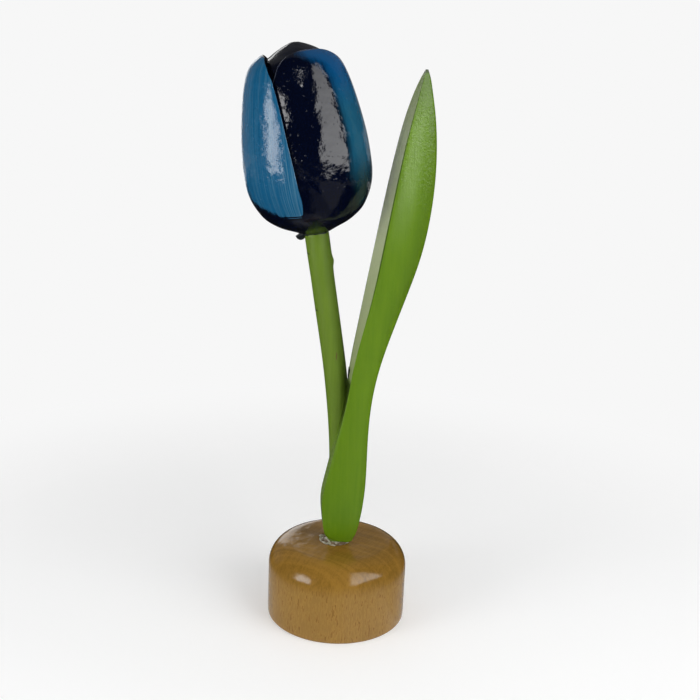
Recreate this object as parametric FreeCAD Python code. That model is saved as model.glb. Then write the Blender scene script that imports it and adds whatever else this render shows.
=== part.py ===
import FreeCAD, Part
import math
import os

# A painted wooden tulip with one leaf in a round beech foot.
# Millimetres. The origin is the centre of the foot's underside, +Z is up,
# the front is towards -Y and the leaf leans towards +X.

os.makedirs("parts", exist_ok=True)
Vector = FreeCAD.Vector

# Foot: a turned disc with a rounded shoulder and a blind socket in its top. The socket is wider
# than the stem and stands a little left of the foot's axis and behind it.
foot_diameter = 50.0
foot_height = 27.8
foot_shoulder_radius = 8.6
foot_edge_break = 0.8
socket_diameter = 11.2
socket_depth = 15.0
socket_left = 1.2
socket_back = 1.35

# Stem: a dowel that stands upright in the socket, bends to the left and runs straight into the
# bloom. The bend starts at a rise above the foot's top.
stem_diameter = 8.0
stem_setback = 2.0
stem_bend_rise = 17.3
stem_bend_radius = 330.0
stem_lean_degrees = 9.4
stem_reach = 42.4
stem_tenon = 14.0
tenon_clearance = 0.1
bore_end_gap = 1.0

# Bloom: one carved block on the stem's line
bloom_diameter = 42.6
bloom_height = 59.2
petal_thickness = 3.0
petal_dip = 1.6
petal_half_width_degrees = 86.0
petal_first_azimuth_degrees = -90.0
bud_half_width_degrees = 74.0
bud_petal_thickness = 2.2
bud_petal_dip = 0.9
bud_first_azimuth_degrees = -30.0
core_inset = 2.0
least_hollow_share = 0.35

# Leaf: a carved blade, flat on the side that faces the stem and rounded on the outer side
leaf_height = 166.0
leaf_reach = 27.4
leaf_depth = 9.4
leaf_end_lift = 1.5
leaf_roundness_share = 0.78

# Hardened glue
glue_line = 0.1
socket_glue_sink = 1.2
bloom_glue_width = 1.1
bloom_glue_height = 1.3
leaf_glue_radius = 1.0
leaf_glue_length = 6.0
leaf_glue_rise = 64.0

petal_count = 3
petal_pitch_degrees = 360.0 / petal_count

# Outer petals, from the bottom ring to the tip: share of the bloom's height, share of its
# radius, share of the petal's half width, and share of its thickness
PETAL_SHARES = [
    (0.060, 0.565, 1.000, 1.00),
    (0.120, 0.785, 1.000, 1.00),
    (0.190, 0.912, 0.985, 1.00),
    (0.280, 0.986, 0.970, 1.00),
    (0.390, 1.000, 0.950, 1.00),
    (0.510, 0.982, 0.925, 1.00),
    (0.620, 0.940, 0.895, 1.00),
    (0.730, 0.884, 0.850, 1.00),
    (0.820, 0.825, 0.800, 0.95),
    (0.890, 0.762, 0.735, 0.85),
    (0.940, 0.690, 0.655, 0.70),
    (0.975, 0.590, 0.530, 0.55),
    (1.000, 0.480, 0.250, 0.40),
]

# Inner petals of the closed bud, in the same four shares
BUD_SHARES = [
    (0.600, 0.800, 1.00, 1.00),
    (0.700, 0.790, 1.00, 1.00),
    (0.800, 0.750, 1.00, 1.00),
    (0.870, 0.690, 0.99, 1.00),
    (0.930, 0.595, 0.96, 1.00),
    (0.970, 0.485, 0.91, 1.00),
    (1.000, 0.370, 0.84, 1.00),
    (1.025, 0.260, 0.74, 1.00),
    (1.045, 0.160, 0.58, 1.00),
]

# Core of the bloom: share of height, share of radius, share of the core inset
CORE_SHARES = [
    (0.000, 0.235, 0.00),
    (0.025, 0.390, 0.00),
    (0.047, 0.530, 0.00),
    (0.071, 0.640, 0.00),
    (0.101, 0.746, 0.10),
    (0.150, 0.850, 0.35),
    (0.205, 0.928, 0.75),
    (0.280, 0.986, 1.00),
    (0.390, 1.000, 1.00),
    (0.510, 0.982, 1.00),
    (0.620, 0.920, 1.00),
    (0.730, 0.840, 1.00),
    (0.830, 0.750, 1.00),
    (0.910, 0.610, 1.00),
    (0.970, 0.460, 1.00),
    (1.010, 0.310, 1.00),
]
core_top_share = 1.04

# Leaf sections from its lower end to its tip: share of the leaf's height, the left corner and
# the right side as shares of its reach, its front and its back as shares of its depth measured
# from the stem's front, and how far the back corner stands left of the front one, of the reach
LEAF_SHARES = [
    (0.000, 0.100, 0.150, -0.30, -0.12, 0.000),
    (0.004, 0.040, 0.184, -0.34, -0.06, 0.004),
    (0.010, -0.035, 0.205, -0.38, 0.00, 0.008),
    (0.024, -0.145, 0.243, -0.43, 0.04, 0.016),
    (0.055, -0.208, 0.277, -0.50, 0.06, 0.024),
    (0.100, -0.222, 0.312, -0.55, 0.08, 0.030),
    (0.150, -0.175, 0.329, -0.57, 0.10, 0.030),
    (0.210, -0.098, 0.331, -0.57, 0.12, 0.030),
    (0.270, -0.020, 0.338, -0.54, 0.15, 0.030),
    (0.330, 0.050, 0.369, -0.51, 0.19, 0.032),
    (0.400, 0.114, 0.450, -0.49, 0.29, 0.050),
    (0.470, 0.203, 0.574, -0.49, 0.38, 0.074),
    (0.550, 0.308, 0.731, -0.51, 0.45, 0.100),
    (0.630, 0.392, 0.875, -0.52, 0.49, 0.104),
    (0.710, 0.468, 0.963, -0.51, 0.50, 0.100),
    (0.790, 0.548, 1.000, -0.46, 0.48, 0.096),
    (0.860, 0.625, 0.991, -0.38, 0.44, 0.090),
    (0.920, 0.703, 0.951, -0.28, 0.36, 0.080),
    (0.965, 0.765, 0.900, -0.17, 0.24, 0.052),
    (0.990, 0.800, 0.862, -0.09, 0.11, 0.022),
    (1.000, 0.815, 0.838, -0.04, 0.04, 0.006),
]

foot_radius = foot_diameter / 2
socket_radius = socket_diameter / 2
socket_floor = foot_height - socket_depth
socket_base = Vector(-socket_left, socket_back, socket_floor)
stem_bend_height = foot_height + stem_bend_rise
stem_radius = stem_diameter / 2
stem_front = stem_setback - stem_radius
bloom_radius = bloom_diameter / 2


def in_bloom(shape):
    """The shape, drawn about +Z from the origin, set on the stem's line at the bloom's base."""
    placed = shape.copy()
    turn = FreeCAD.Rotation(Vector(0, 1, 0), -stem_lean_degrees)
    placed.Placement = FreeCAD.Placement(bloom_base(), turn)
    return placed


def bend_end():
    """Where the stem's bend ends and its straight upper length starts."""
    lean = math.radians(stem_lean_degrees)
    return Vector(
        -stem_bend_radius * (1 - math.cos(lean)),
        stem_setback,
        stem_bend_height + stem_bend_radius * math.sin(lean),
    )


def stem_direction():
    """The unit vector along the stem's straight upper length."""
    lean = math.radians(stem_lean_degrees)
    return Vector(-math.sin(lean), 0, math.cos(lean))


def bloom_base():
    """The point on the stem's centre line where the bloom's underside begins."""
    return bend_end() + stem_direction() * stem_reach


def stem_centre(height):
    """The stem's centre line at a height inside its bend."""
    rise = min(max(height - stem_bend_height, 0), bend_end().z - stem_bend_height)
    across = stem_bend_radius - math.sqrt(stem_bend_radius**2 - rise**2)
    return Vector(-across, stem_setback, height)


def stem_solid(radius):
    """An upright length, a bend and a leaning length of one round bar."""
    foot_end = Vector(0, stem_setback, socket_floor)
    bend_start = Vector(0, stem_setback, stem_bend_height)
    upright = Part.makeCylinder(radius, stem_bend_height - socket_floor, foot_end)
    disc = Part.Face(Part.Wire(Part.makeCircle(radius, bend_start, Vector(0, 0, 1))))
    bend_centre = Vector(-stem_bend_radius, stem_setback, stem_bend_height)
    bend = disc.revolve(bend_centre, Vector(0, -1, 0), stem_lean_degrees)
    leaning = Part.makeCylinder(radius, stem_reach + stem_tenon, bend_end(), stem_direction())
    return upright.fuse([bend, leaning]).removeSplitter()


def make_foot():
    """The turned profile revolved about +Z, less the socket."""
    r = foot_shoulder_radius
    e = foot_edge_break
    axis_low = Vector(0, 0, 0)
    low = Vector(foot_radius - e, 0, 0)
    side_low = Vector(foot_radius, 0, e)
    side_high = Vector(foot_radius, 0, foot_height - r)
    slant = math.sqrt(0.5)
    shoulder = Vector(foot_radius - r + r * slant, 0, foot_height - r + r * slant)
    top = Vector(foot_radius - r, 0, foot_height)
    axis_high = Vector(0, 0, foot_height)
    edges = [
        Part.makeLine(axis_low, low),
        Part.makeLine(low, side_low),
        Part.makeLine(side_low, side_high),
        Part.Arc(side_high, shoulder, top).toShape(),
        Part.makeLine(top, axis_high),
        Part.makeLine(axis_high, axis_low),
    ]
    body = Part.Face(Part.Wire(edges)).revolve(axis_low, Vector(0, 0, 1), 360)
    return body.cut(Part.makeCylinder(socket_radius, socket_depth, socket_base))


def spline(points):
    """One smooth curve through the points."""
    curve = Part.BSplineCurve()
    curve.interpolate(points)
    return curve.toShape()


def polar(radius, azimuth_degrees, height):
    """A point about the bloom's axis. Azimuth 0 faces the front and 90 faces right."""
    azimuth = math.radians(azimuth_degrees)
    return Vector(radius * math.sin(azimuth), -radius * math.cos(azimuth), height)


def dip_share(offset_degrees):
    """How far a petal has dipped under its left neighbour, left of its own middle."""
    share = min(max(-offset_degrees / (petal_pitch_degrees / 2), 0), 1)
    return (1 - math.cos(math.pi * share)) / 2


def petal(shares, azimuth_degrees, half_width_degrees, thickness, dip):
    """A loft through curved bands. Each band's left side dips under the next petal on the left."""
    steps = 8
    wires = []
    for height_share, radius_share, width_share, thickness_share in shares:
        height = bloom_height * height_share
        radius = bloom_radius * radius_share
        half = half_width_degrees * width_share
        outer = []
        inner = []
        for step in range(steps + 1):
            offset = half * (2 * step / steps - 1)
            reach = radius - dip * dip_share(offset)
            hollow = max(reach - thickness * thickness_share, reach * least_hollow_share)
            outer.append(polar(reach, azimuth_degrees + offset, height))
            inner.append(polar(hollow, azimuth_degrees + offset, height))
        inner.reverse()
        wires.append(
            Part.Wire(
                [
                    spline(outer),
                    Part.makeLine(outer[-1], inner[0]),
                    spline(inner),
                    Part.makeLine(inner[-1], outer[0]),
                ]
            )
        )
    return Part.makeLoft(wires, True, False)


def make_bloom():
    """A turned core with three outer petals, three inner petals and a blind bore for the stem."""
    profile = []
    for height_share, radius_share, inset_share in CORE_SHARES:
        radius = bloom_radius * radius_share - core_inset * inset_share
        profile.append(Vector(radius, 0, bloom_height * height_share))
    top = Vector(0, 0, bloom_height * core_top_share)
    base = Vector(0, 0, 0)
    profile.append(top)
    edges = [spline(profile), Part.makeLine(top, base), Part.makeLine(base, profile[0])]
    block = Part.Face(Part.Wire(edges)).revolve(base, Vector(0, 0, 1), 360)
    petals = []
    for index in range(petal_count):
        turn = petal_pitch_degrees * index
        petals.append(
            petal(
                PETAL_SHARES,
                petal_first_azimuth_degrees + turn,
                petal_half_width_degrees,
                petal_thickness,
                petal_dip,
            )
        )
        petals.append(
            petal(
                BUD_SHARES,
                bud_first_azimuth_degrees + turn,
                bud_half_width_degrees,
                bud_petal_thickness,
                bud_petal_dip,
            )
        )
    for piece in petals:
        block = block.fuse(piece)
    bore = Part.makeCylinder(stem_radius + tenon_clearance, stem_tenon + bore_end_gap)
    return in_bloom(block.cut(bore))


def leaf_section(row):
    """One level section: a straight inner side closed by half a squared ellipse on the outer side."""
    height_share, left_share, right_share, front_share, back_share, lead_share = row
    height = foot_height + leaf_end_lift + leaf_height * height_share
    left = leaf_reach * left_share
    right = leaf_reach * right_share
    front = stem_front + leaf_depth * front_share
    back = stem_front + leaf_depth * back_share
    lead = leaf_reach * lead_share
    middle = (front + back) / 2
    half = (back - front) / 2
    steps = 12
    points = []
    for step in range(steps + 1):
        angle = math.pi * (step / steps - 0.5)
        swing = math.copysign(abs(math.sin(angle)) ** leaf_roundness_share, math.sin(angle))
        out = abs(math.cos(angle)) ** leaf_roundness_share
        side = left - lead * (swing + 1) / 2
        points.append(Vector(side + (right - side) * out, middle + half * swing, height))
    return Part.Wire([spline(points), Part.makeLine(points[-1], points[0])])


def make_leaf():
    """A loft through the level sections, with a groove that fits over the stem."""
    blade = Part.makeLoft([leaf_section(row) for row in LEAF_SHARES], True, False)
    return blade.cut(stem_solid(stem_radius + glue_line))


def make_socket_glue():
    """Glue that fills the socket round the stem to a little below the foot's top."""
    height = socket_depth - glue_line - socket_glue_sink
    fill = Part.makeCylinder(
        socket_radius - glue_line, height, socket_base + Vector(0, 0, glue_line)
    )
    return fill.cut(stem_solid(stem_radius + glue_line))


def make_bloom_glue():
    """A small cone ring round the stem under the bloom."""
    inner = stem_radius + tenon_clearance
    corners = [
        Vector(inner, 0, 0),
        Vector(inner + bloom_glue_width, 0, 0),
        Vector(inner, 0, -bloom_glue_height),
    ]
    section = Part.Face(Part.makePolygon(corners + corners[:1]))
    return in_bloom(section.revolve(Vector(0, 0, 0), Vector(0, 0, 1), 360))


def make_leaf_glue(leaf):
    """A short bead in the notch between the stem's right side and the leaf's inner face."""
    aside = Vector(stem_radius + leaf_glue_radius / 2, -stem_radius / 2, -leaf_glue_length / 2)
    start = stem_centre(foot_height + leaf_glue_rise) + aside
    bead = Part.makeCylinder(leaf_glue_radius, leaf_glue_length, start)
    return bead.cut(stem_solid(stem_radius + glue_line)).cut(leaf)


def main():
    leaf = make_leaf()
    nodes = {
        "foot": make_foot(),
        "stem": stem_solid(stem_radius),
        "bloom": make_bloom(),
        "leaf": leaf,
        "socket_glue": make_socket_glue(),
        "bloom_glue": make_bloom_glue(),
        "leaf_glue": make_leaf_glue(leaf),
    }
    for name, shape in nodes.items():
        box = shape.BoundBox
        print(name, shape.ShapeType, len(shape.Solids), shape.isValid(), round(shape.Volume, 1),
              [round(v, 2) for v in (box.XMin, box.YMin, box.ZMin, box.XMax, box.YMax, box.ZMax)])
        shape.exportStep("parts/" + name + ".step")


main()
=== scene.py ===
"""Looks of a painted wooden tulip with one leaf in a round beech foot.

Metres, in the frame's own axes: +Z is up, the front is towards -Y and the leaf leans towards +X.
"""

import math

import bpy
import numpy as np
from mathutils import Matrix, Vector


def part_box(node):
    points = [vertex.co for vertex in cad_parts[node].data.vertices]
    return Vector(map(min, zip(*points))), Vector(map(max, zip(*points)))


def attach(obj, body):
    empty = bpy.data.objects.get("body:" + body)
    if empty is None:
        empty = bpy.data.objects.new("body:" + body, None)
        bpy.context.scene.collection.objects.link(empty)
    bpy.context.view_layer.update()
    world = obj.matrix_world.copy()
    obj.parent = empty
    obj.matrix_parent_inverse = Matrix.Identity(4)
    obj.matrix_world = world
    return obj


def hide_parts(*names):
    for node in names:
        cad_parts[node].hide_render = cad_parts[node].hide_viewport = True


bl_info = {
    "name": "Wooden tulip",
    "version": (1, 0, 0),
    "blender": (4, 5, 0),
    "location": "3D View > Sidebar > Tulip",
    "description": "Builds the looks of a painted wooden tulip round its packed frame",
    "category": "Add Mesh",
}

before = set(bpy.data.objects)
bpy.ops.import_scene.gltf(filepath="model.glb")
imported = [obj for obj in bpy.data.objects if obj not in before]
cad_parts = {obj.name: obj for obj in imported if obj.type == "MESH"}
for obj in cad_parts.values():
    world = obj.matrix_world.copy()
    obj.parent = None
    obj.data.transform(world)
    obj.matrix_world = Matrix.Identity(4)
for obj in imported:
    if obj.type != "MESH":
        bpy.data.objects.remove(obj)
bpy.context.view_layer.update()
foot_low, foot_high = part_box("foot")
stem_low, stem_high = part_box("stem")
leaf_low, leaf_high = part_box("leaf")
glue_low, glue_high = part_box("socket_glue")

MILLIMETRE = 0.001
CLEARANCE = 0.1 * MILLIMETRE
FOOT_RADIUS = (foot_high.x - foot_low.x) / 2
FOOT_HEIGHT = foot_high.z
STEM_RADIUS = (stem_high.y - stem_low.y) / 2
STEM_SETBACK = (stem_high.y + stem_low.y) / 2
STEM_FRONT = stem_low.y
LEAF_BASE = leaf_low.z
LEAF_HEIGHT = leaf_high.z - leaf_low.z
SOCKET_RADIUS = (glue_high.x - glue_low.x) / 2
SOCKET_CENTRE = ((glue_high.x + glue_low.x) / 2, (glue_high.y + glue_low.y) / 2)
SOCKET_FLOOR = stem_low.z

PETAL_COUNT = 3
PETAL_PITCH = 360.0 / PETAL_COUNT

# The bloom's outer form: share of its height and share of its radius
BLOOM_PROFILE = np.array(
    [
        (0.000, 0.235),
        (0.025, 0.390),
        (0.047, 0.530),
        (0.071, 0.640),
        (0.101, 0.746),
        (0.150, 0.850),
        (0.205, 0.928),
        (0.280, 0.986),
        (0.390, 1.000),
        (0.510, 0.982),
        (0.620, 0.940),
        (0.730, 0.884),
        (0.820, 0.825),
        (0.890, 0.762),
        (0.940, 0.690),
        (0.975, 0.590),
        (1.000, 0.480),
    ]
)

# The core shows below this share of the bloom's height and the petals above it. Beyond it each
# sinks out of sight, by the square of the distance times this share of the bloom's radius
MERGE_HEIGHT = 0.12
MERGE_SINK = 0.9

# A petal's outline: depth below its tip as a share of the bloom's height, and how far its
# right and its left edge stand from its middle, in degrees
PETAL_OUTLINE = np.array(
    [
        (0.000, 0.0, 0.0),
        (0.008, 33.0, 22.0),
        (0.015, 41.0, 30.0),
        (0.027, 47.0, 38.5),
        (0.044, 52.5, 44.0),
        (0.074, 59.0, 49.5),
        (0.102, 62.3, 51.8),
        (0.130, 66.0, 54.0),
        (0.166, 68.5, 57.5),
        (0.220, 71.5, 63.0),
        (0.284, 74.0, 68.0),
        (0.394, 77.2, 73.5),
        (0.520, 80.0, 77.5),
        (0.626, 82.0, 80.0),
        (0.736, 83.6, 82.0),
        (0.840, 85.5, 83.0),
        (1.000, 86.5, 84.0),
    ]
)

# Where the blue band begins on a petal: height share, and half a right angle more than the
# offset of the band's left edge, in right angles
BAND_EDGE = (
    (0.000, 1.080),
    (0.040, 1.017),
    (0.142, 0.844),
    (0.320, 0.700),
    (0.466, 0.744),
    (0.638, 0.733),
    (0.832, 0.706),
    (0.920, 0.611),
    (0.980, 0.383),
)

# How each petal is brushed: name, shift of its band's left edge and level of the band's lower
# end on its right side, both in the units above, and the strength of the streaks
PETAL_LOOKS = (
    ("petal_left", -0.62, 0.100, 1.0),
    ("petal_right", -0.08, -0.15, 0.03),
    ("petal_back", -0.15, 0.06, 0.5),
)

# The closed bud's form: share of the bloom's height and share of its radius
BUD_PROFILE = np.array(
    [
        (0.550, 0.800),
        (0.700, 0.785),
        (0.800, 0.745),
        (0.870, 0.680),
        (0.930, 0.585),
        (0.965, 0.490),
        (0.984, 0.405),
        (0.995, 0.365),
        (1.010, 0.297),
        (1.027, 0.200),
        (1.038, 0.120),
        (1.045, 0.060),
    ]
)

# The bud's lowest row, its highest row and the point that closes it, in the same shares
BUD_FOOT = 0.55
BUD_TOP = 1.0445
BUD_POLE = 1.047

# Leaf sections from its lower end to its tip: share of the leaf's height, the left corner and
# the right side as shares of its reach, its front and its back as shares of its depth measured
# from the stem's front, and how far the back corner stands left of the front one, of the reach
LEAF_SHARES = np.array(
    [
        (0.000, 0.090, 0.145, -0.26, -0.16, 0.000),
        (0.002, 0.032, 0.170, -0.31, -0.10, 0.002),
        (0.007, -0.062, 0.192, -0.36, -0.03, 0.006),
        (0.013, -0.130, 0.210, -0.39, 0.01, 0.010),
        (0.024, -0.178, 0.236, -0.43, 0.04, 0.016),
        (0.055, -0.208, 0.277, -0.50, 0.06, 0.024),
        (0.100, -0.222, 0.312, -0.55, 0.08, 0.030),
        (0.150, -0.175, 0.329, -0.57, 0.10, 0.030),
        (0.210, -0.098, 0.331, -0.57, 0.12, 0.030),
        (0.270, -0.020, 0.338, -0.54, 0.15, 0.030),
        (0.330, 0.050, 0.369, -0.51, 0.19, 0.032),
        (0.400, 0.114, 0.450, -0.49, 0.29, 0.050),
        (0.470, 0.203, 0.574, -0.49, 0.38, 0.074),
        (0.550, 0.308, 0.731, -0.51, 0.45, 0.100),
        (0.630, 0.392, 0.875, -0.52, 0.49, 0.104),
        (0.710, 0.468, 0.963, -0.51, 0.50, 0.100),
        (0.790, 0.548, 1.000, -0.46, 0.48, 0.096),
        (0.860, 0.625, 0.991, -0.38, 0.44, 0.090),
        (0.920, 0.703, 0.951, -0.28, 0.36, 0.080),
        (0.965, 0.765, 0.900, -0.17, 0.24, 0.052),
        (0.990, 0.800, 0.862, -0.09, 0.11, 0.022),
        (1.000, 0.815, 0.838, -0.04, 0.04, 0.006),
    ]
)

# Scars and shade on the stem: centre and half sizes, in millimetres
STEM_DASHES = (
    ((-13.9, 0.6, 133.5), (1.9, 2.4, 0.42)),
    ((-10.6, 0.4, 113.9), (1.7, 2.4, 0.38)),
)
# A dent whose darkness is painted shadow of the gap behind the leaf's edge
STEM_SHADOW_SLIT = ((-4.0, -1.0, 56.6), (0.34, 3.5, 2.1))
STEM_SCRATCH = ((-3.0, -1.8, 98.3), (0.30, 1.6, 1.9))
# Painted shade in the leaf's notch
STEM_NOTCH_SHADE = ((2.4, -1.0, 77.0), (2.6, 5.0, 19.0))

# Half sizes of the blistered lacquer, in millimetres
BLISTER_SIZE = (3.3, 12.0, 3.2)

# A shift that takes the blue band off a piece, and the height share of the core's hidden top
NO_BAND = 2.0
CORE_TOP = 0.62

# Soft lamps: name, radiance, and corners as azimuth and elevation seen from the bloom, in degrees
SOFT_LAMPS = (
    ("lamp_right", 4.2, ((24, -1), (82, 3), (66, 50), (48, 60))),
    ("lamp_left", 6.5, ((-69, -12), (-40, -12), (-41, 14), (-67, 17))),
    ("lamp_small", 30.0, ((-15, 36.8), (-1, 36.8), (-1, 38.8), (-15, 38.8))),
)
LAMP_AIM = (-0.016, 0.002, 0.170)
LAMP_DISTANCE = 0.5

# A lamp loses this share of its light between these two heights, in millimetres
LAMP_FALL = 0.45
LAMP_FALL_HEIGHTS = (150.0, 600.0)

# The cards on the floor glow by this much near the foot and not at all past the second radius
CARD_GLOW = 0.40
CARD_GLOW_RADII = (24.0, 90.0)

# The floor keeps the object's shadow up to the first radius and is evenly pale past the second
FLOOR_RADII = (70.0, 260.0)


def length_setting(name, description, default):
    """A length in metres."""
    return bpy.props.FloatProperty(name=name, description=description, default=default, unit="LENGTH")


def angle_setting(name, description, degrees):
    """An angle, written in degrees."""
    default = math.radians(degrees)
    return bpy.props.FloatProperty(name=name, description=description, default=default, unit="ROTATION")


def number_setting(name, description, default):
    """A number without a unit."""
    return bpy.props.FloatProperty(name=name, description=description, default=default)


def point_setting(name, description, default):
    """Three numbers along the axes."""
    return bpy.props.FloatVectorProperty(
        name=name, description=description, default=default, subtype="XYZ"
    )


def colour_setting(name, description, default):
    """A colour in linear light."""
    return bpy.props.FloatVectorProperty(
        name=name, description=description, default=default, subtype="COLOR"
    )


class TulipFootSettings(bpy.types.PropertyGroup):
    """Sizes and colours of the turned foot."""

    shoulder: length_setting("Shoulder", "Radius of the rounded upper edge", 0.0086)
    edge_break: length_setting("Edge break", "Rounding of the lower edge", 0.0008)
    socket_lip: length_setting("Socket lip", "Rounding of the socket's rim", 0.0003)
    light_wood: colour_setting("Light wood", "Varnished early wood", (0.305, 0.161, 0.026))
    dark_wood: colour_setting("Dark wood", "Varnished late wood", (0.188, 0.096, 0.012))
    side_wood: colour_setting("Side wood", "Paler wood on the foot's side", (0.480, 0.280, 0.075))
    fleck: colour_setting("Fleck", "Ray flecks on the side", (0.130, 0.055, 0.008))


class TulipStemSettings(bpy.types.PropertyGroup):
    """Sizes and colours of the bent dowel."""

    bend_rise: length_setting("Bend rise", "Start of the bend above the foot's top", 0.0173)
    bend_radius: length_setting("Bend radius", "Radius of the bend", 0.330)
    lean: angle_setting("Lean", "Lean of the upper length", 9.4)
    reach: length_setting("Reach", "Straight length from the bend to the bloom", 0.0424)
    tenon: length_setting("Tenon", "Length inside the bloom", 0.014)
    swell: length_setting("Swell", "Thicker paint just under the bloom", 0.00018)
    paint: colour_setting("Paint", "Green of the stem", (0.128, 0.219, 0.017))
    bare_wood: colour_setting("Bare wood", "Scratched through the paint", (0.130, 0.075, 0.030))


class TulipBloomSettings(bpy.types.PropertyGroup):
    """Sizes and colours of the carved bloom."""

    radius: length_setting("Radius", "Largest radius of the bloom", 0.0213)
    height: length_setting("Height", "From the bloom's base to the petal tips", 0.0592)
    thickness: length_setting("Petal thickness", "Thickness of a petal's body", 0.003)
    lip: length_setting("Petal lip", "Thickness of a petal's edge", 0.0007)
    dip: length_setting("Petal dip", "Depth of the step beside a petal's edge", 0.0016)
    bud_dip: length_setting("Bud dip", "Depth of the steps on the closed bud", 0.0009)
    bud_shift: length_setting("Bud shift", "How far the bud's top stands to the right", 0.001)
    first_middle: number_setting("First petal", "Azimuth of the left petal's middle, in degrees", -90.0)
    first_bud_middle: number_setting("Bud petal", "Azimuth of the bud's front petal, in degrees", -30.0)
    blister_place: point_setting("Blisters", "Centre of the blisters in millimetres", (-17.5, -15.2, 192.9))
    navy: colour_setting("Navy", "Near-black ground", (0.0004, 0.0016, 0.0088))
    blue: colour_setting("Blue", "Brushed blue", (0.006, 0.090, 0.198))
    light_blue: colour_setting("Light blue", "Lightest brush marks", (0.060, 0.175, 0.270))
    top_blue: colour_setting("Top blue", "Smooth blue near a tip", (0.0012, 0.062, 0.180))
    side_blue: colour_setting("Side blue", "Smooth blue at mid height", (0.0085, 0.084, 0.152))
    low_blue: colour_setting("Low blue", "Smooth blue near the foot", (0.0018, 0.012, 0.0144))
    # Painted highlight on a smooth petal's rim near its tip
    rim_highlight_blue: colour_setting("Rim blue", "Worn rim near a tip", (0.060, 0.068, 0.095))


class TulipLeafSettings(bpy.types.PropertyGroup):
    """Sizes and colours of the carved leaf."""

    reach: length_setting("Reach", "How far the leaf leans out to the right", 0.0274)
    depth: length_setting("Depth", "Front to back size of the blade", 0.0094)
    roundness: number_setting("Roundness", "Below 1 the lower end is squarer than an ellipse", 0.78)
    blade_square: number_setting("Blade belly", "How squarely the blade's outer side closes", 2.1)
    blade_blunt: number_setting("Blade edge", "1 makes the blade's front edge sharp, more rounds it", 1.08)
    paint: colour_setting("Paint", "Green of the leaf", (0.113, 0.229, 0.005))
    # Painted highlight colour beside the leaf's front edge, high up
    sheen_colour: colour_setting("Thin paint", "Where the brush left less paint", (0.290, 0.420, 0.150))
    # Painted reflection of the pale surroundings on the inner face, over a thinner coat
    inner_paint_and_sheen: colour_setting("Inner paint", "Paler inner face", (0.290, 0.340, 0.165))


class TulipGlueSettings(bpy.types.PropertyGroup):
    """Sizes and colours of the hardened glue."""

    rim_spread: length_setting("Rim spread", "How far glue runs over the socket's rim", 0.0006)
    collar_width: length_setting("Collar", "Size of the ring under the bloom", 0.0012)
    bead_place: point_setting("Bead", "Centre of the drop in the leaf's notch", (0.0016, -0.0010, 0.0918))
    bead_size: point_setting("Bead size", "Half sizes of the drop", (0.0005, 0.0007, 0.0022))
    pale: colour_setting("Pale", "Glue over wood", (0.62, 0.58, 0.45))
    hollow: colour_setting("Hollow", "Deep in the socket", (0.250, 0.175, 0.105))
    dark: colour_setting("Dark", "Glue painted over", (0.006, 0.009, 0.012))
    green_tint: colour_setting("Green tint", "Bright edge of the drop", (0.20, 0.27, 0.13))


class TulipStageSettings(bpy.types.PropertyGroup):
    """The camera, the room and the floor."""

    camera_place: point_setting("Camera", "Place of the camera", (0.00157, -0.36499, 0.20762))
    camera_pitch: angle_setting("Pitch", "How far the camera looks down", 16.397)
    camera_roll: angle_setting("Roll", "Roll of the camera", 2.320)
    lens: number_setting("Lens", "Focal length in millimetres on a 36 mm sensor", 56.571)
    floor: colour_setting("Floor", "Pale floor and backdrop", (0.82, 0.82, 0.82))
    backdrop: number_setting("Backdrop", "Brightness of the far floor and wall", 0.93)
    floor_fill: number_setting("Floor fill", "Own light of the floor near the object", 0.27)
    room: number_setting("Room", "Plain light of the room", 0.42)


SETTINGS = {
    "tulip_foot": TulipFootSettings,
    "tulip_stem": TulipStemSettings,
    "tulip_bloom": TulipBloomSettings,
    "tulip_leaf": TulipLeafSettings,
    "tulip_glue": TulipGlueSettings,
    "tulip_stage": TulipStageSettings,
}


def smoothed(table, at):
    """Natural cubic splines through a table's columns, read at places in its first column.

    The second slopes at the knots solve one system of equations, and each piece between two
    knots is the cubic that has them at its ends.
    """
    knots = table[:, 0]
    values = table[:, 1:]
    gaps = np.diff(knots)
    inner = np.arange(1, len(knots) - 1)
    system = np.eye(len(knots))
    system[inner, inner - 1] = gaps[:-1]
    system[inner, inner] = 2 * (gaps[:-1] + gaps[1:])
    system[inner, inner + 1] = gaps[1:]
    change = np.zeros_like(values)
    change[1:-1] = 6 * np.diff(np.diff(values, axis=0) / gaps[:, None], axis=0)
    bends = np.linalg.solve(system, change)
    piece = np.clip(np.searchsorted(knots, at, side="right") - 1, 0, len(gaps) - 1)
    gap = gaps[piece]
    after = ((at - knots[piece]) / gap)[..., None]
    before = 1 - after
    curve = (before**3 - before) * bends[piece] + (after**3 - after) * bends[piece + 1]
    return before * values[piece] + after * values[piece + 1] + curve * (gap**2)[..., None] / 6


def ease(value, low, high):
    """0 below low and 1 above high, with a smooth S between them."""
    share = np.clip((value - low) / (high - low), 0, 1)
    return share * share * (3 - 2 * share)


def bell(value, centre, width):
    """1 at the centre, falling away on both sides: e to the minus square of the distance in widths."""
    return np.exp(-(((value - centre) / width) ** 2))


def ripple(first, second, seed, waves=7):
    """A smooth uneven value between about -1 and 1: a sum of sine waves whose directions, lengths
    and phases are drawn from a seed."""
    random = np.random.default_rng(seed)
    total = np.zeros(np.broadcast(first, second).shape)
    for _ in range(waves):
        along, across, phase = random.uniform(-1, 1, 3)
        total = total + np.sin(math.tau * (along * first + across * second + phase))
    return total / math.sqrt(waves)


def full_turn(columns):
    """Evenly spaced angles all the way round."""
    return np.linspace(0, math.tau, columns, endpoint=False)


def turned(profile, turn):
    """A profile of radius and height carried round the vertical axis to the given angles."""
    radius = profile[:, :1]
    height = np.broadcast_to(profile[:, 1:], (len(profile), len(turn)))
    return np.stack([radius * np.cos(turn), radius * np.sin(turn), height], axis=-1)


def line_points(start, end, count):
    """Evenly spaced points on a straight line, without its last point."""
    share = np.linspace(0, 1, count, endpoint=False)[:, None]
    return np.array(start) * (1 - share) + np.array(end) * share


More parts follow.
